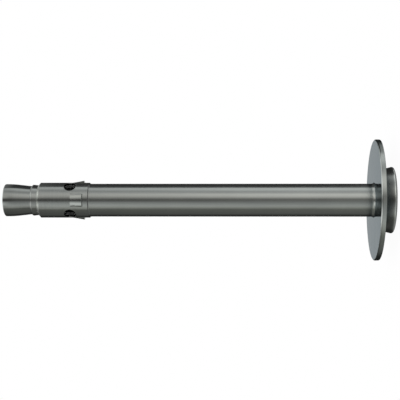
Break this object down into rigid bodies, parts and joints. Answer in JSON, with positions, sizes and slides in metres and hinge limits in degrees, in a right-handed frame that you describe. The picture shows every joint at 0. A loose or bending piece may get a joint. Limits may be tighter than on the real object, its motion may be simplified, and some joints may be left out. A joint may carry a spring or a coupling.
{
  "type": "nail anchor",
  "caption": "Steel nail anchor with a flat nail head, a large captive washer, a plain shank and a rolled clip that a tip cone spreads in a drilled hole.",
  "frame": {"origin": "centre of the head's flat outer face, which it stands on", "axes": "+Z along the bolt's axis, from the head to the tip; -Y towards the clip's middle barb, opposite its open seam"},
  "size_m": [0.0218, 0.0218, 0.0702],
  "materials": {
    "bolt_steel": "zinc plated, satin",
    "clip_steel": "rolled sheet, satin",
    "washer_steel": "punched sheet, fine brushed"
  },
  "bodies": {
    "bolt": {"anchor_bolt": "bolt_steel"},
    "clip": {"expansion_clip": "clip_steel"},
    "washer": {"washer": "washer_steel"}
  },
  "joints": [
    {"name": "clip_spin", "type": "hinge", "parent": "bolt", "child": "clip", "pos_m": [0, 0, 0.0593], "axis": [0, 0, 1], "continuous": true},
    {"name": "washer_spin", "type": "hinge", "parent": "bolt", "child": "washer", "pos_m": [0, 0, 0.003], "axis": [0, 0, 1], "continuous": true}
  ]
}
